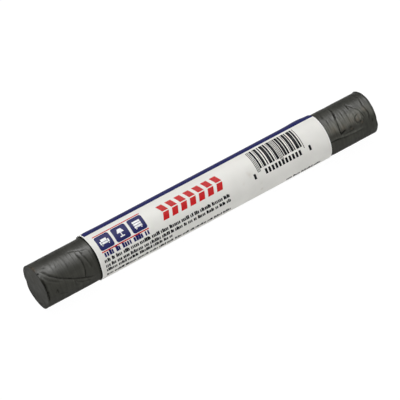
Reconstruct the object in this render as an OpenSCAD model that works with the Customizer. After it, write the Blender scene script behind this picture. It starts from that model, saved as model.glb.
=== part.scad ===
// Furniture repair wax stick: a solid wax rod that lies in a loose sleeve of label paper.
// It lies along X with +Z up, its sleeve on the surface, and the origin on that surface under
// the middle of the wax. The near end is at -X. Angles round the stick are counted from +Y
// (the back) towards +Z (the top).

/* [Wax] */
// Length of the wax stick from end to end
wax_length = 101.6; // [70:0.1:160]
// Diameter of the wax stick
wax_diameter = 11.85; // [8:0.05:20]
// Rounding of the rim at each end of the wax
wax_rim_radius = 0.2; // [0.05:0.05:1.5]

/* [Label] */
// Wax that stands out of the label at the near end
near_end_length = 15.6; // [5:0.1:25]
// Wax that stands out of the label at the far end
far_end_length = 15; // [5:0.1:25]
// Thickness of the label paper
paper_thickness = 0.12; // [0.06:0.01:0.2]
// Gap between the label's inner edge and the wax, with the wax in the middle of its sleeve
flap_gap = 0.05; // [0.05:0.01:0.2]
// Gap left under the wax, which lies low in its sleeve
rest_gap = 0.05; // [0.02:0.01:0.1]

/* [Seam] */
// Width of the lap, measured round the sleeve, under which the label's first stretch lies
lap_width = 6; // [3:0.1:8]
// Angle of the label's outer edge, where the lap ends
outer_edge_angle = -4; // [-15:1:0]
// Paper, measured round the sleeve, that climbs out from under the lap
climb_width = 1.2; // [0.6:0.1:2]
// Thickness of the glue inside the lap
glue_thickness = 0.04; // [0.02:0.01:0.08]
// Paper left without glue along each edge of the lap
glue_margin = 0.8; // [0.3:0.1:1.2]

/* [Hidden] */
$fn = 120;

// Radii from the wax outwards: the label's first stretch, the glue on it, and the sleeve itself
wax_radius = wax_diameter / 2;
flap_inner_radius = wax_radius + flap_gap;
flap_outer_radius = flap_inner_radius + paper_thickness;
bore_radius = flap_outer_radius + glue_thickness;
sleeve_radius = bore_radius + paper_thickness;

label_length = wax_length - near_end_length - far_end_length;
label_start = near_end_length - wax_length / 2;
wax_drop = bore_radius - wax_radius - rest_gap;

// Arc lengths on the sleeve's bore as angles
climb_angle = climb_width / bore_radius * 180 / PI;
lap_angle = lap_width / bore_radius * 180 / PI;
margin_angle = glue_margin / bore_radius * 180 / PI;
inner_edge_angle = outer_edge_angle + lap_angle;
climb_end_angle = outer_edge_angle - climb_angle;
climb_steps = 8;
pared = paper_thickness / 10;

function ray(angle) = [cos(angle), sin(angle)];
function reversed(points) = [for (i = [len(points) - 1 : -1 : 0]) points[i]];

// Rise from 0 to 1, level at both ends and beyond them
function ease(share) = let (part = min(max(share, 0), 1)) part * part * (3 - 2 * part);

// One face of the paper where it climbs out from under the lap, half a step longer at each end
function climb_face(start_radius, end_radius) = [
    for (step = [-0.5 : climb_steps + 0.5])
        let (share = step / climb_steps)
        (start_radius + ease(share) * (end_radius - start_radius))
            * ray(outer_edge_angle - share * climb_angle)
];

// The climbing paper, pared on both faces so that its ends lie inside the sheet that they join
function climb_outline() = concat(
    climb_face(flap_inner_radius + pared, bore_radius + pared),
    reversed(climb_face(flap_outer_radius - pared, sleeve_radius - pared))
);

module ring(inner_radius, outer_radius) {
    difference() {
        circle(r = outer_radius);
        circle(r = inner_radius);
    }
}

// Sector of the cross-section, less than half a turn wide, that reaches past the sleeve
module sector(start_angle, end_angle) {
    reach = 2 * sleeve_radius;
    middle_angle = (start_angle + end_angle) / 2;
    polygon([[0, 0], reach * ray(start_angle), reach * ray(middle_angle), reach * ray(end_angle)]);
}

// Draws a cross-section in Y and Z and runs it along the label
module along_label() {
    translate([label_start, 0, sleeve_radius])
        rotate([90, 0, 90])
            linear_extrude(label_length)
                children();
}

// Half of the wax's lengthwise section: a rod with its two rims rounded
module wax_section() {
    core_radius = wax_radius - wax_rim_radius;
    side_length = wax_length - 2 * wax_rim_radius;
    square([core_radius, wax_length]);
    translate([0, wax_rim_radius])
        square([wax_radius, side_length]);
    for (height = [wax_rim_radius, wax_length - wax_rim_radius])
        translate([core_radius, height])
            circle(r = wax_rim_radius);
}

module wax_stick() {
    color("#45463f")
        translate([-wax_length / 2, 0, sleeve_radius - wax_drop])
            rotate([0, 90, 0])
                rotate_extrude()
                    wax_section();
}

// One sheet: its turn round the wax, its climb out from under the lap, and its first stretch there
module label_wrap() {
    color("#f2f1ee")
        union() {
            along_label()
                difference() {
                    ring(bore_radius, sleeve_radius);
                    sector(climb_end_angle, outer_edge_angle);
                }
            along_label()
                polygon(climb_outline());
            along_label()
                intersection() {
                    ring(flap_inner_radius, flap_outer_radius);
                    sector(outer_edge_angle, inner_edge_angle);
                }
        }
}

module seam_adhesive() {
    color("#d9d2b8")
        along_label()
            intersection() {
                ring(flap_outer_radius, bore_radius);
                sector(outer_edge_angle + margin_angle, inner_edge_angle - margin_angle);
            }
}

wax_stick();
label_wrap();
seam_adhesive();
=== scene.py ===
"""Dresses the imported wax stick: the wax rod, its paper label, the label's print, the glue and the stage."""

import math

import bmesh
import bpy
from bpy.props import FloatProperty, FloatVectorProperty, PointerProperty
from mathutils import Matrix, Vector, noise


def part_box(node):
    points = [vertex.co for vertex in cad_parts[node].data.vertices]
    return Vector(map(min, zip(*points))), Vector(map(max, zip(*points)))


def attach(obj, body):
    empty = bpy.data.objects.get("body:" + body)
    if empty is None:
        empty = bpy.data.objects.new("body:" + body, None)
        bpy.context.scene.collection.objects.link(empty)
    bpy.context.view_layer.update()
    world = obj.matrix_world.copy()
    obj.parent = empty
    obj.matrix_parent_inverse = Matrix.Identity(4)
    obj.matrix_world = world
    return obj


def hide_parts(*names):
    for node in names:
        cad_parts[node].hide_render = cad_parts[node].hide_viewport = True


bl_info = {
    "name": "Wax Filler Stick",
    "version": (1, 0, 0),
    "blender": (4, 5, 0),
    "location": "View3D > Sidebar > Wax Stick",
    "description": "Dresses the packed wax stick with its wax, paper label, print and stage",
    "category": "Object",
}

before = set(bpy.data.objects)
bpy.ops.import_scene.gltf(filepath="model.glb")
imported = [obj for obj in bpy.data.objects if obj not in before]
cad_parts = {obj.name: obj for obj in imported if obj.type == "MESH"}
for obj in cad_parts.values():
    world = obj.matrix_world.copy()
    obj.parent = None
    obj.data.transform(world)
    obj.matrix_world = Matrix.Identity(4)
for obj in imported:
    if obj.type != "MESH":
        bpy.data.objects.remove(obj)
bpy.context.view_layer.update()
wax_low, wax_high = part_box("wax_stick")
label_low, label_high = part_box("label_wrap")

# Pieces are drawn in millimetres and brought to metres when they are done.
MM = 0.001
# Facets round the wax, and the steps between its rings: bare, slid out at a limit, and never seen
WAX_FACETS = 224
BARE_STEP = 0.15
HIDDEN_STEP = 0.4
DEEP_STEP = 2.0
# How far the wax slides, rounded up
SLIDE = 16.0
# Gap round the wax in the middle of the sleeve's bore, and how far below that the wax lies
GAP = 0.21
DROP = 0.16
# Room between the drawn paper and the outer face that the CAD gives it, for the ink and the waves
SLACK = 0.012
# Length of each end of the sheet over which its cut moves
CUT_REACH = 2.5
# Angle, from the back towards the top, that the pressed far mouth and the swells lie at
PRESSED_ANGLE = 34


def linear(colour):
    """The linear red, green, blue and alpha of an sRGB hex colour."""
    shares = [int(colour[i:i + 2], 16) / 255 for i in (1, 3, 5)]
    return [c / 12.92 if c <= 0.04045 else ((c + 0.055) / 1.055) ** 2.4 for c in shares] + [1.0]


def size(name, description, default):
    """A length that a user may change, in metres."""
    return FloatProperty(
        name=name, description=description, default=default, min=0.0, unit="LENGTH", precision=6
    )


def tint(name, description, default):
    """A colour that a user may change, written as an sRGB hex value."""
    return FloatVectorProperty(
        name=name, description=description, default=linear(default), size=4, min=0.0, max=1.0, subtype="COLOR"
    )


def turn(name, description, default):
    """An angle that a user may change, written in degrees."""
    return FloatProperty(name=name, description=description, default=math.radians(default), subtype="ANGLE")


def level(name, description, default, unit="NONE"):
    """A level of light or a lamp's power that a user may change."""
    return FloatProperty(name=name, description=description, default=default, min=0.0, unit=unit)


class WaxSettings(bpy.types.PropertyGroup):
    """Sizes and colours of the wax"""

    radius: size("Radius", "Radius of the wax rod", (wax_high.y - wax_low.y) / 2)
    length: size("Length", "Length of the wax rod", wax_high.x - wax_low.x)
    axis: size("Axis height", "Height of the rod's axis above the surface", (wax_high.z + wax_low.z) / 2)
    rim: size("Rim", "Rounding of the rim at each end", 0.00006)
    wave: size("Wave", "Height of the slow waves", 0.00002)
    ring: size("Ring", "Height of the rings drawn round the rod", 0.00002)
    knot: size("Knot", "Height of the rings of the knot", 0.000045)
    lip: size("Lip", "Height of the wax pushed up at the near mouth, before the sleeve scrapes it", 0.0003)
    undercut: size("Undercut", "Depth of the undercut behind the near rim", 0.0004)
    colour: tint("Colour", "Dark body of the wax", "#34342f")
    smear: tint("Smear", "Paler wax in streaks", "#40403a")
    # Also the colour of the painted highlight on folds and at the far end, of the painted reflection low on
    # both ends and of the painted light on the near face's top
    pale_and_painted_light: tint("Pale", "Thin dull skin on the far end", "#707069")
    rust: tint("Rust", "Brown pigment that was not stirred in", "#6a5b49")
    # Painted shade: the colour laid in creases, pits and the undercut, at the label's mouths, along the top
    # and bottom of the bare wax, on the rims and low on the near face
    painted_shade: tint("Dark", "Bottom of a crease", "#161613")


class LabelSettings(bpy.types.PropertyGroup):
    """Sizes and colours of the paper label"""

    radius: size("Radius", "Outside radius of the sleeve", (label_high.z - label_low.z) / 2)
    start: FloatProperty(
        name="Start", description="Near end of the label", default=label_low.x, unit="LENGTH"
    )
    end: FloatProperty(
        name="End", description="Far end of the label", default=label_high.x, unit="LENGTH"
    )
    paper: size("Paper", "Thickness of the paper", 0.00012)
    glue: size("Glue", "Thickness of the glue in the lap", 0.00004)
    lap: size("Lap", "Width of the lap round the sleeve", 0.006)
    climb: size("Climb", "Paper that climbs out from under the lap", 0.0012)
    pinch: size("Pinch", "How far the far mouth is pressed in at the upper back", 0.00012)
    edge: turn("Outer edge", "Angle of the outer edge, from the back towards the top", -4)
    colour: tint("Colour", "Coated face of the paper", "#e9e8e3")
    # Whiter paper along the cut ends: bare fibre, and a painted highlight where the edge catches light
    core: tint("Core", "Bare fibre along the trimmed ends", "#fafaf7")
    smudge: tint("Smudge", "Wax smeared on the paper by fingers", "#9c8a66")
    glue_colour: tint("Glue colour", "Dried glue", "#d9d2b8")


class PrintSettings(bpy.types.PropertyGroup):
    """Thickness and colours of the print"""

    film: size("Film", "Thickness of an ink film", 0.00001)
    navy: tint("Navy", "Ink of the band and the tiles", "#1a1e5c")
    red: tint("Red", "Ink of the chevrons and the rules", "#c4191c")
    black: tint("Black", "Ink of the fine rows and the bars", "#1e1e22")
    white: tint("White", "Ink of the pictograms", "#eeeef0")


class StageSettings(bpy.types.PropertyGroup):
    """Camera, lamps and floor"""

    azimuth: turn("Azimuth", "Direction that the camera stands in", -34.590)
    elevation: turn("Elevation", "Height of the camera above the horizon", 50.606)
    distance: size("Distance", "Distance from the camera to its aim", 0.715745)
    lens: FloatProperty(name="Lens", description="Focal length in millimetres", default=253.0, min=1.0)
    aim: FloatVectorProperty(
        name="Aim", description="Point in the middle of the picture", default=(-0.001347, 0.0, 0.00599),
        subtype="TRANSLATION",
    )
    overhead: level("Overhead", "Power of the overhead lamp", 1.86, "POWER")
    front: level("Front", "Power of the weak lamp in front", 0.12, "POWER")
    gloss: level("Gloss", "Power of the lamp that shows in gloss", 19.0, "POWER")
    ambient: level("Ambient", "Level of the light from all round", 0.5)
    ceiling: level("Ceiling", "Level of the studio's ceiling in gloss", 0.1)
    floor: tint("Floor", "Studio floor", "#f2f2f2")


class StickSettings(bpy.types.PropertyGroup):
    """Settings of the wax stick"""

    wax: PointerProperty(type=WaxSettings)
    label: PointerProperty(type=LabelSettings)
    ink: PointerProperty(type=PrintSettings)
    stage: PointerProperty(type=StageSettings)


# Materials

def add_node(tree, kind, inputs=None, **settings):
    """Adds a node. An input is a value or the output of another node, under its socket's name or number."""
    made = tree.nodes.new(kind)
    for name, value in settings.items():
        setattr(made, name, value)
    for socket, value in (inputs or {}).items():
        if isinstance(value, bpy.types.NodeSocket):
            tree.links.new(value, made.inputs[socket])
        else:
            made.inputs[socket].default_value = value
    return made


def new_material(name):
    """An empty node material with its output, and its tree."""
    material = bpy.data.materials.new(name)
    material.use_nodes = True
    tree = material.node_tree
    tree.nodes.clear()
    return material, tree, add_node(tree, "ShaderNodeOutputMaterial")


def filling_wax(settings):
    """Pigmented filling wax, cast and handled: dull, deep grey-black, a little greasy, streaked round the
    rod, with painted light and painted shade laid on from its attributes.
    """
    material, tree, output = new_material("pigmented_filling_wax")
    place = add_node(tree, "ShaderNodeTexCoord").outputs["Object"]
    # Streaks about 0.5 mm apart along the rod and ten times as long round it
    drawn = add_node(tree, "ShaderNodeMapping", {"Vector": place, "Scale": (1.0, 0.1, 0.1)})
    streaks = add_node(
        tree, "ShaderNodeTexNoise",
        {"Vector": drawn.outputs[0], "Scale": 2000.0, "Detail": 2.0, "Roughness": 0.6},
    )
    # Clouds of paler wax about 4 mm across
    clouds = add_node(tree, "ShaderNodeTexNoise", {"Vector": place, "Scale": 250.0, "Detail": 2.0})
    # Grit about 0.2 mm across
    grit = add_node(tree, "ShaderNodeTexNoise", {"Vector": place, "Scale": 5000.0, "Detail": 2.0})
    both = add_node(
        tree, "ShaderNodeMath", {0: streaks.outputs["Fac"], 1: clouds.outputs["Fac"]}, operation="MULTIPLY"
    )
    share = add_node(tree, "ShaderNodeMapRange", {0: both.outputs[0], 1: 0.12, 2: 0.42, 3: 0.0, 4: 1.0})
    colour = add_node(
        tree, "ShaderNodeMix", {0: share.outputs[0], 6: settings.colour, 7: settings.smear}, data_type="RGBA"
    )
    # The paler skin and its painted light are streaked too, brown pigment lies over them, and painted shade
    # in the creases, at the mouths, along the top and bottom and on the rims lies over all
    thin = add_node(tree, "ShaderNodeMapRange", {0: streaks.outputs["Fac"], 1: 0.3, 2: 0.7, 3: 0.7, 4: 1.15})
    for name, tone in (("pale_and_painted_light", settings.pale_and_painted_light), ("rust", settings.rust), ("painted_shade", settings.painted_shade)):
        amount = add_node(tree, "ShaderNodeAttribute", attribute_name=name).outputs["Fac"]
        if name == "pale_and_painted_light":
            amount = add_node(
                tree, "ShaderNodeMath", {0: amount, 1: thin.outputs[0]}, operation="MULTIPLY", use_clamp=True
            ).outputs[0]
        colour = add_node(tree, "ShaderNodeMix", {0: amount, 6: colour.outputs[2], 7: tone}, data_type="RGBA")
    rough = add_node(tree, "ShaderNodeMapRange", {0: clouds.outputs["Fac"], 1: 0.3, 2: 0.7, 3: 0.42, 4: 0.54})
    # The dark places shine less
    # Where shade is painted, the wax also shines less
    shine = add_node(tree, "ShaderNodeMath", {0: amount, 1: -0.1, 2: 0.12}, operation="MULTIPLY_ADD")
    fine = add_node(
        tree, "ShaderNodeBump", {"Strength": 0.35, "Distance": 0.00002, "Height": grit.outputs["Fac"]}
    )
    lined = add_node(
        tree, "ShaderNodeBump",
        {"Strength": 0.8, "Distance": 0.0001, "Height": streaks.outputs["Fac"], "Normal": fine.outputs[0]},
    )
    shader = add_node(
        tree, "ShaderNodeBsdfPrincipled",
        {"Base Color": colour.outputs[2], "Roughness": rough.outputs[0], "IOR": 1.44,
         "Specular IOR Level": shine.outputs[0], "Normal": lined.outputs[0]},
    )
    tree.links.new(shader.outputs[0], output.inputs[0])
    return material


def label_paper(settings):
    """Coated label paper: a near white, even, half-glossy face, bare fibre with a painted highlight at its
    cuts, faint smudges.
    """
    material, tree, output = new_material("coated_label_paper")
    place = add_node(tree, "ShaderNodeTexCoord").outputs["Object"]
    # Cloudiness of the sheet, about 5 mm across, and its fibres, drawn at 0.25 mm so that they show
    clouds = add_node(tree, "ShaderNodeTexNoise", {"Vector": place, "Scale": 200.0, "Detail": 3.0})
    fibres = add_node(tree, "ShaderNodeTexNoise", {"Vector": place, "Scale": 4000.0, "Detail": 4.0})
    shade = add_node(
        tree, "ShaderNodeMapRange", {0: clouds.outputs["Fac"], 1: 0.3, 2: 0.7, 3: 0.97, 4: 1.03}
    )
    colour = add_node(
        tree, "ShaderNodeMix", {0: 1.0, 6: settings.colour, 7: shade.outputs[0]}, data_type="RGBA",
        blend_type="MULTIPLY",
    )
    for name, tone in (("trim_and_highlight", settings.core), ("smudge", settings.smudge)):
        amount = add_node(tree, "ShaderNodeAttribute", attribute_name=name).outputs["Fac"]
        colour = add_node(tree, "ShaderNodeMix", {0: amount, 6: colour.outputs[2], 7: tone}, data_type="RGBA")
    rough = add_node(
        tree, "ShaderNodeMapRange", {0: fibres.outputs["Fac"], 1: 0.3, 2: 0.7, 3: 0.54, 4: 0.62}
    )
    bump = add_node(
        tree, "ShaderNodeBump", {"Strength": 0.12, "Distance": 0.00001, "Height": fibres.outputs["Fac"]}
    )
    shader = add_node(
        tree, "ShaderNodeBsdfPrincipled",
        {"Base Color": colour.outputs[2], "Roughness": rough.outputs[0], "IOR": 1.5,
         "Specular IOR Level": 0.05, "Normal": bump.outputs[0]},
    )
    tree.links.new(shader.outputs[0], output.inputs[0])
    return material


def offset_ink(name, colour):
    """Offset ink on coated paper: a strong flat colour, faintly mottled where the paper took it unevenly."""
    material, tree, output = new_material(name)
    place = add_node(tree, "ShaderNodeTexCoord").outputs["Object"]
    # Mottle about 0.6 mm across
    mottle = add_node(tree, "ShaderNodeTexNoise", {"Vector": place, "Scale": 1600.0, "Detail": 3.0})
    shade = add_node(
        tree, "ShaderNodeMapRange", {0: mottle.outputs["Fac"], 1: 0.3, 2: 0.7, 3: 0.88, 4: 1.12}
    )
    ink = add_node(
        tree, "ShaderNodeMix", {0: 1.0, 6: colour, 7: shade.outputs[0]}, data_type="RGBA",
        blend_type="MULTIPLY",
    )
    rough = add_node(
        tree, "ShaderNodeMapRange", {0: mottle.outputs["Fac"], 1: 0.3, 2: 0.7, 3: 0.5, 4: 0.58}
    )
    shader = add_node(
        tree, "ShaderNodeBsdfPrincipled",
        {"Base Color": ink.outputs[2], "Roughness": rough.outputs[0], "IOR": 1.5, "Specular IOR Level": 0.05},
    )
    tree.links.new(shader.outputs[0], output.inputs[0])
    return material


def dried_glue(settings):
    """Dried label glue: a thin yellowish film with brush ridges along the lap."""
    material, tree, output = new_material("dried_label_glue")
    place = add_node(tree, "ShaderNodeTexCoord").outputs["Object"]
    # Ridges about 0.5 mm apart round the lap and much longer along it
    drawn = add_node(tree, "ShaderNodeMapping", {"Vector": place, "Scale": (0.08, 1.0, 1.0)})
    ridges = add_node(
        tree, "ShaderNodeTexNoise", {"Vector": drawn.outputs[0], "Scale": 2000.0, "Detail": 2.0}
    )
    shade = add_node(
        tree, "ShaderNodeMapRange", {0: ridges.outputs["Fac"], 1: 0.3, 2: 0.7, 3: 0.9, 4: 1.1}
    )
    colour = add_node(
        tree, "ShaderNodeMix", {0: 1.0, 6: settings.glue_colour, 7: shade.outputs[0]}, data_type="RGBA",
        blend_type="MULTIPLY",
    )
    bump = add_node(
        tree, "ShaderNodeBump", {"Strength": 0.4, "Distance": 0.00001, "Height": ridges.outputs["Fac"]}
    )
    shader = add_node(
        tree, "ShaderNodeBsdfPrincipled",
        {"Base Color": colour.outputs[2], "Roughness": 0.3, "IOR": 1.48, "Normal": bump.outputs[0]},
    )
    tree.links.new(shader.outputs[0], output.inputs[0])
    return material


def floor_paper(settings):
    """White studio paper: it looks white to the camera and in gloss, and keeps the object's soft shadow."""
    material, tree, output = new_material("studio_floor_paper")
    path = add_node(tree, "ShaderNodeLightPath")
    mirrored = add_node(
        tree, "ShaderNodeMath", {0: path.outputs["Is Glossy Ray"], 1: path.outputs["Is Transmission Ray"]},
        operation="MAXIMUM",
    )
    faint = add_node(tree, "ShaderNodeMath", {0: mirrored.outputs[0], 1: 0.1}, operation="MULTIPLY")
    share = add_node(
        tree, "ShaderNodeMath", {0: path.outputs["Is Camera Ray"], 1: 0.93, 2: faint.outputs[0]},
        operation="MULTIPLY_ADD",
    )
    sheet = add_node(tree, "ShaderNodeBsdfDiffuse", {"Color": settings.floor})
    white = add_node(tree, "ShaderNodeEmission", {"Color": (1.0, 1.0, 1.0, 1.0), "Strength": 1.05})
    mixed = add_node(
        tree, "ShaderNodeMixShader", {0: share.outputs[0], 1: sheet.outputs[0], 2: white.outputs[0]}
    )
    tree.links.new(mixed.outputs[0], output.inputs[0])
    return material


# Pieces

def finish_piece(context, bm, name, body, material, sharp=40):
    """Brings a drawn piece to metres, makes it an object that rides on a body, and gives it its material."""
    bmesh.ops.recalc_face_normals(bm, faces=bm.faces)
    bmesh.ops.scale(bm, vec=(MM, MM, MM), verts=bm.verts)
    for face in bm.faces:
        face.smooth = True
    for edge in bm.edges:
        edge.smooth = edge.is_manifold and edge.calc_face_angle(0.0) < math.radians(sharp)
    mesh = bpy.data.meshes.new(name)
    bm.to_mesh(mesh)
    bm.free()
    if not mesh.polygons:
        raise RuntimeError(name + " has no faces")
    mesh.materials.append(material)
    piece = bpy.data.objects.new(name, mesh)
    context.scene.collection.objects.link(piece)
    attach(piece, body)
    return piece


def ease(share):
    """A rise from 0 to 1, level at both ends and beyond them."""
    share = min(max(share, 0.0), 1.0)
    return share * share * (3 - 2 * share)


def bell(distance, width):
    """A soft bump that is 1 at no distance."""
    return math.exp(-((distance / width) ** 2))


# Creases of the wax: the path in mm along the wax and degrees round it, then width, depth and the height of
# the fold beside it, in mm. The fold lies on the left of the path.
CREASES = (
    (((-49.8, 93), (-49.2, 100), (-48.7, 108), (-48.2, 116), (-47.4, 123), (-46.4, 131), (-44.5, 141),
      (-42.8, 149.5), (-41.3, 156), (-39.8, 162), (-38.3, 167.5), (-37.1, 169.5)), 0.20, 0.18, 0.03),
    (((-50.1, 102), (-50.1, 109.5), (-49.4, 118.5), (-48.9, 125.5), (-47.7, 133), (-45.9, 142)),
     0.18, 0.09, 0.02),
    (((-42.8, 152), (-41.8, 162), (-40.8, 168), (-39.4, 172.5), (-37.8, 179)), 0.20, 0.08, 0.02),
    (((-42.8, 152), (-42.6, 160), (-42.6, 170)), 0.16, 0.09, 0.0),
    (((-39.25, 90), (-39.2, 105), (-39.0, 119), (-39.05, 132), (-39.2, 145), (-39.6, 157), (-39.7, 167)),
     0.20, 0.15, 0.03),
    (((-38.05, 94), (-37.95, 109), (-37.6, 124), (-37.3, 135.5), (-37.15, 146)), 0.20, 0.12, 0.03),
    (((-36.1, 95), (-35.95, 107), (-35.85, 117), (-35.9, 130)), 0.18, 0.06, 0.02),
    (((-43.2, 79), (-43.0, 93), (-42.85, 108), (-43.05, 123)), 0.16, 0.05, 0.01),
    (((-45.2, 86), (-45.4, 97), (-45.55, 108)), 0.15, 0.04, 0.01),
    (((-41.1, 82), (-39.85, 85), (-37.9, 94.5), (-36.5, 97.5), (-35.5, 99.5)), 0.20, 0.07, 0.03),
    (((-46.5, 80), (-46.55, 97), (-46.45, 114)), 0.13, 0.03, 0.01),
    (((-44.6, 78), (-44.5, 95), (-44.55, 112)), 0.13, 0.03, 0.01),
    (((-44.0, 84), (-43.95, 98), (-44.05, 116)), 0.12, 0.025, 0.01),
    (((-41.6, 80), (-41.65, 96), (-41.5, 113)), 0.13, 0.035, 0.01),
    (((-40.6, 82), (-40.55, 99), (-40.6, 117)), 0.13, 0.03, 0.01),
    (((-47.8, 154), (-47.6, 165)), 0.22, 0.16, 0.0),
    (((-47.8, 156), (-48.5, 161.7)), 0.16, 0.10, 0.0),
    (((-47.5, 168), (-46.1, 174), (-45.0, 179)), 0.18, 0.08, 0.02),
    (((40.5, 63), (40.65, 73), (40.6, 84), (40.35, 94), (40.05, 106), (39.8, 118.5), (39.65, 130),
      (39.55, 138), (39.65, 147)), 0.20, 0.22, 0.05),
    (((39.6, 138), (39.7, 147), (40.6, 143.5), (41.3, 142)), 0.32, 0.20, 0.0),
    (((39.5, 157.3), (38.1, 155), (37.3, 154.6), (35.5, 154)), 0.22, 0.18, 0.06),
    (((42.6, 160.5), (41.9, 160), (40.75, 159.6), (39.5, 157.3), (38.6, 156)), 0.22, 0.10, 0.07),
    (((46.5, 162), (44.7, 161.5), (43.3, 161.2), (41.9, 160)), 0.22, 0.07, 0.08),
    (((43.84, 152), (42.56, 151.7), (41.29, 151.1), (40.2, 149.9)), 0.18, 0.10, 0.0),
    (((47.0, 133.7), (47.05, 140.8), (46.6, 147.1), (45.9, 149.3)), 0.18, 0.09, 0.02),
    (((46.6, 118.6), (45.5, 121), (44.9, 125.4), (44.7, 131.5), (45.15, 139), (46.05, 141)),
     0.20, 0.14, 0.03),
    (((46.8, 121), (46.9, 129), (46.65, 136), (46.05, 141)), 0.18, 0.08, 0.02),
    (((44.9, 83), (45.8, 96), (46.5, 106), (47.0, 113.5), (47.2, 122), (47.45, 131.5), (47.6, 140)),
     0.18, 0.12, 0.03),
    (((45.1, 78), (44.85, 91.5), (44.9, 97.5)), 0.20, 0.12, 0.02),
    (((49.3, 80), (49.0, 90.5), (48.7, 105), (48.75, 113), (48.95, 123), (49.1, 130), (48.85, 138),
      (48.5, 147)), 0.20, 0.14, 0.03),
    (((48.5, 58), (48.75, 70), (49.15, 78)), 0.20, 0.10, 0.02),
    (((37.7, 70), (37.3, 87.5)), 0.22, 0.10, 0.02),
    (((37.9, 93), (37.6, 112), (37.5, 130)), 0.18, 0.06, 0.02),
    (((42.4, 90), (42.2, 108), (42.0, 130)), 0.16, 0.04, 0.02),
    (((43.6, 92), (43.4, 112), (43.3, 134)), 0.16, 0.04, 0.02),
)

# Small pits and lumps of the wax: mm along it, degrees round it, width and height in mm
MARKS = (
    (-48.3, 89.7, 0.24, -0.055), (-49.6, 101.5, 0.40, 0.02), (-50.0, 115.3, 0.35, 0.02),
    (-50.55, 97.8, 0.25, -0.12), (-48.3, 52.0, 0.35, -0.10), (-45.4, 52.0, 0.30, -0.08),
    (49.45, 150.0, 0.24, -0.05), (49.4, 153.5, 0.24, -0.045), (46.1, 139.3, 0.32, -0.05),
    (48.0, 179.8, 0.40, -0.03), (42.8, 141.0, 0.36, -0.04), (43.3, 149.4, 0.28, -0.045),
    (42.6, 151.0, 0.28, -0.045), (-50.45, 151.3, 0.30, -0.09), (-50.5, 137.0, 0.24, -0.08),
)

# Brown spots: mm along the wax, degrees round it, width in mm and strength
RUST = (
    (-50.75, 75.0, 0.40, 0.9), (-50.7, 84.0, 0.35, 0.7), (-50.8, 64.0, 0.35, 0.5), (38.0, 127.0, 0.9, 0.25),
    (40.8, 134.0, 0.8, 0.25), (43.6, 126.0, 1.0, 0.2), (48.4, 116.0, 0.6, 0.3), (45.4, 131.7, 0.6, 0.4),
    (46.1, 124.0, 0.5, 0.3), (42.95, 146.5, 0.30, 0.4), (46.4, 143.4, 0.4, 0.3),
)

# Burrs and bites of the two rims: near or far end, degrees round it, half width in degrees and height in mm
BURRS = (
    (-1, 331, 8, -0.40), (-1, 10, 20, 0.16), (-1, 302, 16, 0.26), (-1, 269, 14, 0.13), (-1, 238, 18, 0.28),
    (1, 97, 13, 0.30), (1, 72, 14, 0.18), (1, 122, 16, 0.14), (1, 36, 20, 0.15), (1, 158, 9, -0.18),
    (1, 185, 16, -0.10),
)

# Middle of the knot: mm along the wax and degrees round it
KNOT = (45.8, 128.5)

# Middles of the three tiles, in mm along the stick
TILES = (-31.4, -26.5, -21.6)


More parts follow.
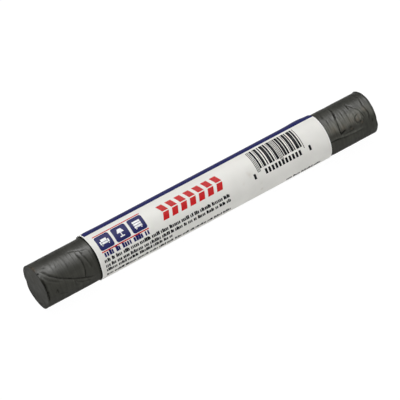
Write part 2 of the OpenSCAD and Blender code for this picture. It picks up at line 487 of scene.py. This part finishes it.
class WAXSTICK_OT_wax(bpy.types.Operator):
    """Make the wax rod with its creases, its knot and its cut ends"""

    bl_idname = "waxstick.wax"
    bl_label = "Wax Rod"

    def execute(self, context):
        settings = context.scene.wax_stick.wax
        label = context.scene.wax_stick.label
        radius, half = settings.radius / MM, settings.length / MM / 2
        rim = settings.rim / MM
        bm = bmesh.new()
        bmesh.ops.create_cone(
            bm, cap_ends=True, segments=WAX_FACETS, radius1=radius, radius2=radius, depth=2 * half,
            matrix=Matrix.Rotation(math.radians(90), 4, "Y"),
        )
        rims = [e for e in bm.edges if abs(e.verts[0].co.x - e.verts[1].co.x) < 0.01]
        bmesh.ops.bevel(
            bm, geom=rims, offset=rim, offset_type="OFFSET", segments=4, profile=0.5, affect="EDGES",
            material=-1,
        )
        # Rings, close together from just inside each mouth of the label to the end of the wax
        near, far = label.start / MM + 0.6, label.end / MM - 0.6
        stops = [-half + rim, near, near + SLIDE, far - SLIDE, far, half - rim]
        steps = [BARE_STEP, HIDDEN_STEP, DEEP_STEP, HIDDEN_STEP, BARE_STEP]
        for stop in stops[1:-1]:
            bmesh.ops.bisect_plane(
                bm, geom=bm.verts[:] + bm.edges[:] + bm.faces[:], plane_co=(stop, 0, 0), plane_no=(1, 0, 0)
            )
        for start, end, step in zip(stops, stops[1:], steps):
            runs = [
                e for e in bm.edges
                if e.calc_length() > 2.5 and start - 0.01 < min(v.co.x for v in e.verts)
                and max(v.co.x for v in e.verts) < end + 0.01
            ]
            cuts = round((end - start) / step) - 1
            bmesh.ops.subdivide_edges(bm, edges=runs, cuts=cuts, use_grid_fill=True)
        for cap in [f for f in bm.faces if len(f.verts) > 4]:
            for _ in range(12):
                bmesh.ops.inset_region(bm, faces=[cap], thickness=0.4, use_even_offset=True)
            bmesh.ops.poke(bm, faces=[cap])
        self.sculpt(bm, settings, label)
        bmesh.ops.translate(bm, vec=(0, 0, settings.axis / MM), verts=bm.verts)
        piece = finish_piece(context, bm, "wax_rod", "wax", filling_wax(settings), sharp=70)
        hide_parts("wax_stick")
        return {"FINISHED"}

    def sculpt(self, bm, settings, label):
        """Gives a true rod the relief of the real one, and marks its paler skin with painted light, its brown
        spots and its painted shade.
        """
        radius, half = settings.radius / MM, settings.length / MM / 2
        around = math.radians(1) * radius
        creases = []
        for path, width, depth, fold in CREASES:
            points = [Vector((x, angle * around)) for x, angle in path]
            creases.append((points, width, depth, fold, min(p.x for p in points), max(p.x for p in points)))
        marks, spots = (
            [(Vector((x, angle * around)), width, amount) for x, angle, width, amount in table]
            for table in (MARKS, RUST)
        )
        layers = [bm.verts.layers.float.new(name) for name in ("pale_and_painted_light", "rust", "painted_shade")]
        for vert in bm.verts:
            here = vert.co.copy()
            angle = math.degrees(math.atan2(here.z, here.y)) % 360
            # Place on the unrolled wax, and how far past its flat end, which is 0 or less
            place = Vector((here.x, angle * around))
            end = abs(here.x) - half
            rings = noise.noise(Vector((here.x / 0.4, here.y / 5, here.z / 5)))
            height, depth, ridge = self.relief(settings, here, angle, place, rings, creases, marks)
            height = min(height, self.room(settings, label, here.x, angle))
            for side, burr_angle, width, burr in BURRS:
                if side * here.x > 0 and end > -0.4:
                    turned = (angle - burr_angle + 180) % 360 - 180
                    height += burr * bell(turned, width) * ease((end + 0.4) / 0.35)
            # Both rims are ragged
            worn = ease((end + 1.2) / 1.2)
            height -= 0.05 * worn * (0.4 + noise.noise(here / 0.9))
            vert.co.x -= math.copysign(worn * 0.03 * (0.6 + noise.noise(here / 1.1)), here.x)
            vert.co.yz = vert.co.yz * (1 + min(height, 0.4) / radius)
            # Skin and painted light, brown spots and painted shade end at the rims
            out = math.hypot(here.y, here.z) - radius
            outer = ease((out + 0.6) / 0.5)
            # Paler skin, with a painted highlight along the raised folds
            pale_and_painted_light = outer * min(max(self.skin(here.x, angle, rings), 0.0) + 4 * ridge, 1.0)
            rust = outer * max(amount * bell((place - spot).length, width) for spot, width, amount in spots)
            painted_shade = outer * min(self.shade_share(here.x, angle, end, depth), 1.0)
            # Painted light and shade on the near face: lighter towards its top, darker towards its bottom and
            # inside its back rim
            if here.x < 0 and end > -0.05:
                pale_and_painted_light += 0.03 * max(here.z / radius, 0.0)
                inside = ease((out + 1.7) / 0.8)
                painted_shade = max(painted_shade, 0.28 * max(-here.z / radius, 0.0), 0.38 * self.back_rim(angle) * inside)
            for layer, share in zip(layers, (pale_and_painted_light, rust, painted_shade)):
                vert[layer] = share

    def relief(self, settings, here, angle, place, rings, creases, marks):
        """Height of the relief at a place, share of the painted shade at its bottom, and height of its folds,
        which get a painted highlight.
        """
        x = here.x
        # Slow waves, and rings that the mould or the hand drew round the rod
        height = settings.wave / MM * (noise.noise(here / 5) - 0.5)
        drawn = noise.noise(Vector((x / 1.4, here.y / 7, here.z / 7 + 9)))
        height += settings.ring / MM * (rings + 0.9 * drawn)
        depth, ridge = 0.0, 0.0
        for points, width, deep, fold, low, high in creases:
            if low - 1.5 < x < high + 1.5:
                raised, groove = self.crease(place, points, width, deep, fold)
                height += raised
                depth, ridge = max(depth, groove), max(ridge, raised)
        for spot, width, tall in marks:
            if abs(x - spot.x) < 1.2:
                mark = tall * bell((place - spot).length, width)
                height += mark
                # Pits get painted shade as deep as they are
                depth = max(depth, -3 * mark)
        # The knot: rings 0.9 mm apart that die away round its middle
        around = math.radians(1) * settings.radius / MM
        from_knot = (place - Vector((KNOT[0], KNOT[1] * around))).length
        if from_knot < 4:
            height += settings.knot / MM * bell(from_knot, 1.9) * math.cos(from_knot * 2 * math.pi / 0.9)
        # Wax pushed up in front of the near mouth, on top, and a little beyond the far one
        lip = settings.lip / MM
        height += lip * ease((x + 35.85) / 0.5) * ease((-35.05 - x) / 0.25) * bell(angle - 40, 7)
        far_lip = ease((x - 35.8) / 0.5) * ease((41.5 - x) / 3) * bell(angle - PRESSED_ANGLE, 16)
        height += 0.2 * lip * far_lip
        # The undercut behind the near rim, with a painted shadow of the overhanging rim along it
        cut = ease((angle - 108) / 12) * ease((182 - angle) / 10) * bell(x + 50.45, 0.17)
        cut *= 0.75 + 0.6 * noise.noise(Vector((4, here.y / 1.1, here.z / 1.1)))
        height -= settings.undercut / MM * cut
        depth = max(depth, 0.5 * settings.undercut / MM * cut)
        # The underside swells to a share of its room, more at the far end
        swell = ease((angle - 150) / 30) * ease((255 - angle) / 35) * ease((abs(x) - 36) / 2)
        height += (0.8 if x > 0 else 0.3) * swell * (GAP + DROP * math.sin(math.radians(angle)))
        return height, depth, ridge

    def room(self, settings, label, x, angle):
        """Height that the sleeve lets by as the wax slides, least in the lap and under the pressed mouth."""
        play = (label.radius - label.paper - settings.radius) / MM - 0.025
        drop = (label.radius - settings.axis) / MM
        back = (angle + 180) % 360 - 180
        lapped = ease((back + 16) / 10) * ease((58 - back) / 3)
        pressed = bell(back - PRESSED_ANGLE, 26) * ease(x - 46.5)
        taken = (lapped * (label.paper + label.glue) + pressed * label.pinch) / MM
        return play + drop * math.sin(math.radians(angle)) - taken

    def skin(self, x, angle, rings):
        """Share of the paler colour: a field of dull skin on the far end, which also paints the broad
        highlight there, and a painted reflection of the floor low on both ends.
        """
        lower = 143 if x < 39.6 else 145
        skin = ease((angle - 98) / 20) * ease((x - 34.5) / 2) * ease((lower - angle) / 18)
        skin *= 1 - 0.7 * ease((x - 46.3) / 1.2) * ease((angle - 114) / 10) * ease((49.7 - x) / 0.8)
        skin *= 0.75 + 0.6 * rings
        return skin + 0.085 * ease((angle - 130) / 14) * ease((205 - angle) / 20) * ease((abs(x) - 34.5) / 2)

    def shade_share(self, x, angle, end, depth):
        """Share of painted shade in creases and pits, painted shadow at the label's mouths and in the
        undercut, painted darkening along the top and bottom of the bare wax, and painted shade on the rims.
        """
        shares = [
            depth / 0.2,
            0.9 * bell(x + 35.1, 0.2 + 0.2 * ease((angle - 95) / 20)),
            0.6 * bell(x - 35.9, 0.2),
            0.32 * bell(angle - 58, 14),
            0.35 * bell(angle - 194, 14),
        ]
        if x > 0:
            shares.append(0.6 * bell(end + 0.1, 0.3))
        else:
            rim = 0.25 + 0.2 * bell(angle - 82, 25) + 0.6 * self.back_rim(angle)
            shares.append(bell(end, 0.45) * rim)
        return max(shares)

    def back_rim(self, angle):
        """Share of the near rim's painted shade that lies on its back."""
        return ease((110 - abs((angle - 320 + 180) % 360 - 180)) / 40)

    def crease(self, place, points, width, depth, fold):
        """Height of a crease with the fold on its left, and share of the painted shade along its bottom, on
        the unrolled wax.
        """
        nearest, side, share = 9.0, 1.0, 0.0
        for i, (start, end) in enumerate(zip(points, points[1:])):
            along = end - start
            part = min(max((place - start).dot(along) / along.length_squared, 0.0), 1.0)
            off = place - start - along * part
            if off.length < nearest:
                nearest, share = off.length, (i + part) / (len(points) - 1)
                side = math.copysign(1.0, along.x * off.y - along.y * off.x)
        # Shallow at both ends, and broken along the way
        taper = min(1.0, 0.2 + 5 * share, 0.2 + 5 * (1 - share))
        taper *= 1 + 0.7 * noise.noise(Vector((place.x / 0.9, place.y / 0.9, 3)))
        raised = fold * bell(nearest * side - 2 * width, 1.6 * width) - depth * bell(nearest, width)
        return taper * raised, taper * depth * bell(nearest, 0.7 * width)


# Smudges of the label: mm along the stick, degrees round it, width in mm and strength
SMUDGES = (
    (11.3, 127.5, 0.5, 0.22), (11.0, 122.5, 0.35, 0.14), (11.35, 133.0, 0.35, 0.16), (8.8, 141.5, 0.3, 0.12),
    (13.6, 178.5, 0.3, 0.35), (13.6, 160.0, 0.4, 0.10),
)


def paper_face(label, x, angle):
    """Radius in mm of the paper's outer face, x mm along the stick, at an angle on the sheet's own turn."""
    outside = label.radius / MM
    lap = (label.paper + label.glue) / MM
    under = math.radians(360) + label.edge
    climb = label.climb / MM / (outside - label.paper / MM)
    inside = ease((angle - under + climb) / climb)
    # At the upper back the sheet swells towards both ends, and the far mouth is pressed in
    back = (math.degrees(angle) - PRESSED_ANGLE + 180) % 360 - 180
    swell = (0.07 * bell(x + 33, 2.2) + 0.14 * bell(x - 31.7, 2.5)) * bell(back, 20)
    reach = ease((x - label.end / MM + 3.4) / 3.2)
    pinch = label.pinch / MM * reach * bell(back, 26) - swell
    # It is never quite round
    wave = 0.006 * (1 + noise.noise(Vector((x / 9, math.cos(angle) * 1.5, math.sin(angle) * 1.5))))
    return outside - SLACK - inside * (lap - SLACK) - pinch - wave * (1 - inside)


def roll_up(bm, label):
    """Rolls a flat drawing round the sleeve: X along it, Y up the front from mid-height, Z the lift."""
    outside = label.radius / MM
    for vert in bm.verts:
        x, up, lift = vert.co
        angle = math.pi - up / outside
        # The near cut waves a little and stands back under the stick, and the far cut stands back in the lap
        turned = math.degrees(angle)
        near = 0.18 + 0.06 * math.cos(5 * angle - math.radians(250)) + 0.3 * ease((turned - 208) / 22)
        far = 0.09 + 0.4 * ease((turned - 348) / 12)
        near *= ease((label.start / MM + CUT_REACH - x) / CUT_REACH)
        far *= ease((x - label.end / MM + CUT_REACH) / CUT_REACH)
        x += near - far
        reach = paper_face(label, x, angle) + lift
        vert.co = (x, reach * math.cos(angle), outside + reach * math.sin(angle))


def height_at(label, degrees):
    """Height on the flat label of an angle round the sleeve."""
    return math.radians(180 - degrees) * label.radius / MM


def draw_bar(bm, left, right, low, high, lean=0.0):
    """Draws a flat bar, leaning by a share of its height."""
    place = Matrix.Translation(((left + right) / 2, (low + high) / 2, 0))
    slant = Matrix.Identity(4)
    slant[0][1] = lean
    scale = Matrix.Diagonal((right - left, high - low, 1, 1))
    made = bmesh.ops.create_grid(bm, x_segments=1, y_segments=1, size=0.5, matrix=place @ slant @ scale)
    return made["verts"]


def slice_up(bm, across, along):
    """Cuts a flat drawing into strips, so that it follows the round of the sleeve."""
    for axis, step in ((0, along), (1, across)):
        low = min(v.co[axis] for v in bm.verts)
        high = max(v.co[axis] for v in bm.verts)
        normal = Vector((1, 0, 0)) if axis == 0 else Vector((0, 1, 0))
        for i in range(math.ceil(low / step), math.floor(high / step) + 1):
            bmesh.ops.bisect_plane(
                bm, geom=bm.verts[:] + bm.edges[:] + bm.faces[:], plane_co=normal * i * step, plane_no=normal
            )


def thicken(bm, low, high):
    """Gives a flat drawing its thickness, from low to high."""
    bmesh.ops.solidify(bm, geom=bm.verts[:] + bm.edges[:] + bm.faces[:], thickness=high - low)
    top = max(v.co.z for v in bm.verts)
    bmesh.ops.translate(bm, vec=(0, 0, high - top), verts=bm.verts)


class WAXSTICK_OT_label(bpy.types.Operator):
    """Make the paper label, wound once round the wax and lapped over its own first edge"""

    bl_idname = "waxstick.label"
    bl_label = "Paper Label"

    def execute(self, context):
        label = context.scene.wax_stick.label
        start, end = label.start / MM, label.end / MM
        bore = (label.radius - label.paper) / MM
        top = height_at(label, math.degrees(label.edge))
        low = height_at(label, math.degrees(label.edge + label.lap / MM / bore) + 360)
        bm = bmesh.new()
        bmesh.ops.create_grid(
            bm, x_segments=213, y_segments=180, size=0.5,
            matrix=Matrix.Translation(((start + end) / 2, (top + low) / 2, 0))
            @ Matrix.Diagonal((end - start, top - low, 1, 1)),
        )
        thicken(bm, SLACK - label.paper / MM, 0.0)
        trim_and_highlight, smudge = bm.verts.layers.float.new("trim_and_highlight"), bm.verts.layers.float.new("smudge")
        for vert in bm.verts:
            # Bare fibre at the cut ends, with a painted highlight on them
            vert[trim_and_highlight] = 1.0 if min(vert.co.x - start, end - vert.co.x) < 0.1 else 0.0
            vert[smudge] = max(
                strength * bell((vert.co.xy - Vector((x, height_at(label, degrees)))).length, width)
                for x, degrees, width, strength in SMUDGES
            )
        roll_up(bm, label)
        piece = finish_piece(context, bm, "label_paper", "sleeve", label_paper(label))
        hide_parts("label_wrap")
        return {"FINISHED"}


class WAXSTICK_OT_glue(bpy.types.Operator):
    """Make the strip of glue inside the lap"""

    bl_idname = "waxstick.glue"
    bl_label = "Lap Glue"

    def execute(self, context):
        label = context.scene.wax_stick.label
        start, end = label.start / MM + 0.3, label.end / MM - 0.3
        around = math.degrees(MM / (label.radius - label.paper))
        first = 360 + math.degrees(label.edge)
        top = height_at(label, first + 0.8 * around)
        low = height_at(label, first + (label.lap / MM - 0.8) * around)
        bm = bmesh.new()
        bmesh.ops.create_grid(
            bm, x_segments=142, y_segments=18, size=0.5,
            matrix=Matrix.Translation(((start + end) / 2, (top + low) / 2, 0))
            @ Matrix.Diagonal((end - start, top - low, 1, 1)),
        )
        # The sheet above waves, so the film is a little thinner than the room that it has
        thicken(bm, 0.001, label.glue / MM - 0.014)
        roll_up(bm, label)
        piece = finish_piece(context, bm, "lap_glue", "sleeve", dried_glue(label))
        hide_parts("seam_adhesive")
        return {"FINISHED"}


def draw_rows(bm, label, rows):
    """Draws rows of small blocks in groups: left, right, degrees, height, pitch, share of the low blocks."""
    for row, (left, right, degrees, tall, pitch, short) in enumerate(rows):
        base = height_at(label, degrees) - tall / 2
        x, count = left, 0
        while x < right:
            for _ in range(5 + int(3.9 * noise.cell(Vector((count + 0.5, row + 0.5, 9.5))))):
                count += 1
                share = 0.5 + 0.5 * noise.cell(Vector((count + 0.5, row + 0.5, 0.5)))
                wide = pitch * (0.6 + 0.38 * share)
                if x + wide > right:
                    break
                draw_bar(bm, x, x + wide, base, base + tall * (short if share < 0.7 else 1.0))
                x += pitch
            x += 0.7 * pitch


class WAXSTICK_OT_print(bpy.types.Operator):
    """Print the label: navy band and tiles, red chevrons and rules, dark rows and bars, white pictograms"""

    bl_idname = "waxstick.print"
    bl_label = "Label Print"

    def execute(self, context):
        settings = context.scene.wax_stick
        label, ink = settings.label, settings.ink
        film = ink.film / MM
        for name, colour, draw, low in (
            ("print_navy", ink.navy, self.navy, 0.0), ("print_red", ink.red, self.red, 0.0),
            ("print_black", ink.black, self.black, 0.0), ("print_white", ink.white, self.white, film),
        ):
            bm = bmesh.new()
            draw(bm, label)
            slice_up(bm, 0.36, 0.5)
            thicken(bm, low - 0.004, low + (film if low == 0.0 else 0.002))
            roll_up(bm, label)
            material = offset_ink(name.replace("print", "ink"), colour)
            finish_piece(context, bm, name, "sleeve", material)
        return {"FINISHED"}

    def round_corners(self, bm, verts, radius):
        """Rounds the corners of a flat bar."""
        bmesh.ops.bevel(
            bm, geom=verts, offset=radius, offset_type="OFFSET", segments=8, profile=0.5, affect="VERTICES",
            material=-1,
        )

    def navy(self, bm, label):
        """A band along the label's upper edge, three tiles and a row of blocks."""
        band = draw_bar(
            bm, label.start / MM + 0.28, label.end / MM, height_at(label, 66.5), height_at(label, 36)
        )
        corner = [v for v in band if v.co.x < 0 and v.co.y > height_at(label, 50)]
        self.round_corners(bm, corner, 2.2)
        for middle in TILES:
            tile = draw_bar(bm, middle - 2.1, middle + 2.1, height_at(label, 124), height_at(label, 86))
            self.round_corners(bm, tile, 0.6)
        draw_rows(bm, label, [(-33.1, -19.6, 134.2, 1.3, 0.72, 0.86)])

    def red(self, bm, label):
        """A row of chevrons, each of two leaning planks, and a rule over and under the tiles."""
        low, high = height_at(label, 128.5), height_at(label, 90)
        middle, gap = (low + high) / 2, 0.14
        for i in range(7):
            left = -14.6 + 2.72 * i
            draw_bar(bm, left, left + 1.75, middle + gap, high, lean=-0.45)
            draw_bar(bm, left, left + 1.75, low, middle - gap, lean=0.45)
        thick = 2.8
        for foot in (84.4, 128.4):
            draw_bar(bm, -33.5, -19.5, height_at(label, foot), height_at(label, foot - thick))

    def black(self, bm, label):
        """Rows of fine blocks, and a block of upright bars with a row under it."""
        draw_rows(bm, label, [
            (-33.8, 4.3, 148.0, 0.98, 0.47, 0.78), (-33.8, 4.4, 160.8, 0.98, 0.47, 0.78),
            (-33.8, -13.8, 173.0, 0.98, 0.47, 0.78), (-33.8, 4.2, 189.5, 1.0, 0.42, 0.78),
            (21.5, 32.7, 195.5, 1.0, 0.45, 0.78),
        ])
        for left in [12.2] + [15.7 + 1.06 * i for i in range(11)] + [29.4]:
            draw_bar(bm, left, left + 0.66, height_at(label, 145), height_at(label, 132))
        # Fine longer bars at both ends and in the middle, and bars of uneven widths between them
        x, count = 13.7, 0
        while x < 28.3:
            count += 1
            fine = min(abs(x - 13.9), abs(x - 21.1), abs(x - 28.2)) < 0.6
            wide = 0.18 * (1 if fine else 1 + int(4.4 * ((count * 0.618) % 1)))
            foot = height_at(label, 133 if fine else 127)
            draw_bar(bm, x, min(x + wide, 28.4), foot, height_at(label, 73.8))
            x += wide + 0.17 * (1 if fine else 1 + int(1.7 * ((count * 0.382 + 0.3) % 1)))

    def white(self, bm, label):
        """A sofa, a lamp and a chest on the tiles."""
        base = height_at(label, 105)
        for left, right, low, high in (
            (-32.35, -30.45, -0.05, 0.95), (-32.35, -30.45, -0.8, -0.2), (-32.95, -32.5, -0.8, 0.35),
            (-30.3, -29.85, -0.8, 0.35), (-32.7, -32.4, -1.25, -0.95), (-30.4, -30.1, -1.25, -0.95),
            (-26.65, -26.35, -1.1, 0.1), (-27.25, -25.75, -1.4, -1.05),
            (-22.9, -20.3, 0.5, 1.15), (-22.9, -20.3, -0.3, 0.35), (-22.9, -20.3, -1.1, -0.45),
            (-22.7, -22.3, -1.5, -1.2), (-20.9, -20.5, -1.5, -1.2),
        ):
            draw_bar(bm, left, right, base + low, base + high)
        shade = draw_bar(bm, -27.7, -25.3, base + 0.05, base + 1.4)
        for vert in shade:
            if vert.co.y > base + 1:
                vert.co.x += 0.5 * (-26.5 - vert.co.x)
        # Each is drawn large and then drawn in, so that its tile keeps a broad navy border
        for middle in TILES:
            drawn = [v for v in bm.verts if abs(v.co.x - middle) < 2]
            bmesh.ops.scale(
                bm, vec=(0.84, 0.84, 1), space=Matrix.Translation((-middle, -base, 0)), verts=drawn
            )


class WAXSTICK_OT_stage(bpy.types.Operator):
    """Set the camera, the lamps, the floor and the white surroundings"""

    bl_idname = "waxstick.stage"
    bl_label = "Stage"

    def execute(self, context):
        settings = context.scene.wax_stick.stage
        scene = context.scene
        scene.view_settings.view_transform = "Standard"
        back = Vector((
            math.sin(settings.azimuth) * math.cos(settings.elevation),
            -math.cos(settings.azimuth) * math.cos(settings.elevation),
            math.sin(settings.elevation),
        ))
        camera = bpy.data.objects.new("camera", bpy.data.cameras.new("camera"))
        camera.data.lens = settings.lens
        camera.data.sensor_width = 36.0
        camera.location = Vector(settings.aim) + back * settings.distance
        camera.rotation_mode = "QUATERNION"
        camera.rotation_quaternion = (-back).to_track_quat("-Z", "Y")
        camera.data.clip_start = 0.01
        scene.collection.objects.link(camera)
        scene.camera = camera

        # A wide lamp lights the stick, a weak one fills its front, and a small one shows in gloss alone
        for name, power, wide, deep, place in (
            ("overhead_lamp", settings.overhead, 0.5, 0.35, (-0.05, 0.14, 0.6)),
            ("front_lamp", settings.front, 0.3, 0.2, (0.2, -0.4, 0.2)),
            ("gloss_lamp", settings.gloss, 0.26, 0.36, (0.08, 0.15, 0.6)),
        ):
            lamp = bpy.data.lights.new(name, "AREA")
            lamp.energy = power
            lamp.shape = "RECTANGLE"
            lamp.size, lamp.size_y = wide, deep
            holder = bpy.data.objects.new(name, lamp)
            holder.location = place
            holder.rotation_mode = "QUATERNION"
            holder.rotation_quaternion = (-holder.location).to_track_quat("-Z", "Y")
            holder.visible_diffuse = name != "gloss_lamp"
            scene.collection.objects.link(holder)

        bm = bmesh.new()
        bmesh.ops.create_grid(bm, x_segments=1, y_segments=1, size=1.5)
        mesh = bpy.data.meshes.new("studio_floor")
        bm.to_mesh(mesh)
        bm.free()
        mesh.materials.append(floor_paper(settings))
        floor = bpy.data.objects.new("studio_floor", mesh)
        floor.location.z = -0.00002
        scene.collection.objects.link(floor)

        scene.world = scene.world or bpy.data.worlds.new("surroundings")
        scene.world.use_nodes = True
        tree = scene.world.node_tree
        tree.nodes.clear()
        path = add_node(tree, "ShaderNodeLightPath")
        mirrored = add_node(
            tree, "ShaderNodeMath", {0: path.outputs["Is Camera Ray"], 1: path.outputs["Is Glossy Ray"]},
            operation="MAXIMUM",
        )
        seen = add_node(
            tree, "ShaderNodeMath", {0: mirrored.outputs[0], 1: path.outputs["Is Transmission Ray"]},
            operation="MAXIMUM",
        )
        soft = add_node(
            tree, "ShaderNodeBackground", {"Color": (1.0, 1.0, 1.0, 1.0), "Strength": settings.ambient}
        )
        # White to the camera; in gloss, a low white backdrop with a dim ceiling over it
        way = add_node(tree, "ShaderNodeTexCoord").outputs["Generated"]
        up = add_node(tree, "ShaderNodeSeparateXYZ", {0: way}).outputs["Z"]
        shade = add_node(tree, "ShaderNodeMapRange", {0: up, 1: -0.05, 2: 0.15, 3: 1.0, 4: settings.ceiling})
        bright = add_node(
            tree, "ShaderNodeMath", {0: path.outputs["Is Camera Ray"], 1: shade.outputs[0]},
            operation="MAXIMUM",
        )
        white = add_node(
            tree, "ShaderNodeBackground", {"Color": (1.0, 1.0, 1.0, 1.0), "Strength": bright.outputs[0]}
        )
        mixed = add_node(
            tree, "ShaderNodeMixShader", {0: seen.outputs[0], 1: soft.outputs[0], 2: white.outputs[0]}
        )
        output = add_node(tree, "ShaderNodeOutputWorld")
        tree.links.new(mixed.outputs[0], output.inputs[0])
        return {"FINISHED"}


class WAXSTICK_PT_sidebar(bpy.types.Panel):
    """Lists the pieces of the wax stick and their settings"""

    bl_idname = "WAXSTICK_PT_sidebar"
    bl_label = "Wax Stick"
    bl_space_type = "VIEW_3D"
    bl_region_type = "UI"
    bl_category = "Wax Stick"

    def draw(self, context):
        for operator in OPERATORS:
            self.layout.operator(operator.bl_idname)
        settings = context.scene.wax_stick
        for group in (settings.wax, settings.label, settings.ink, settings.stage):
            box = self.layout.box()
            for name in group.__annotations__:
                box.prop(group, name)


OPERATORS = (WAXSTICK_OT_stage, WAXSTICK_OT_wax, WAXSTICK_OT_label, WAXSTICK_OT_glue, WAXSTICK_OT_print)
SETTINGS = (WaxSettings, LabelSettings, PrintSettings, StageSettings, StickSettings)
CLASSES = (*SETTINGS, *OPERATORS, WAXSTICK_PT_sidebar)


def register():
    for made in CLASSES:
        bpy.utils.register_class(made)
    bpy.types.Scene.wax_stick = PointerProperty(type=StickSettings)


def unregister():
    del bpy.types.Scene.wax_stick
    for made in reversed(CLASSES):
        bpy.utils.unregister_class(made)


def main():
    """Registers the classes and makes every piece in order."""
    register()
    bpy.ops.waxstick.stage()
    bpy.ops.waxstick.wax()
    bpy.ops.waxstick.label()
    bpy.ops.waxstick.glue()
    bpy.ops.waxstick.print()


if __name__ == "__main__":
    main()
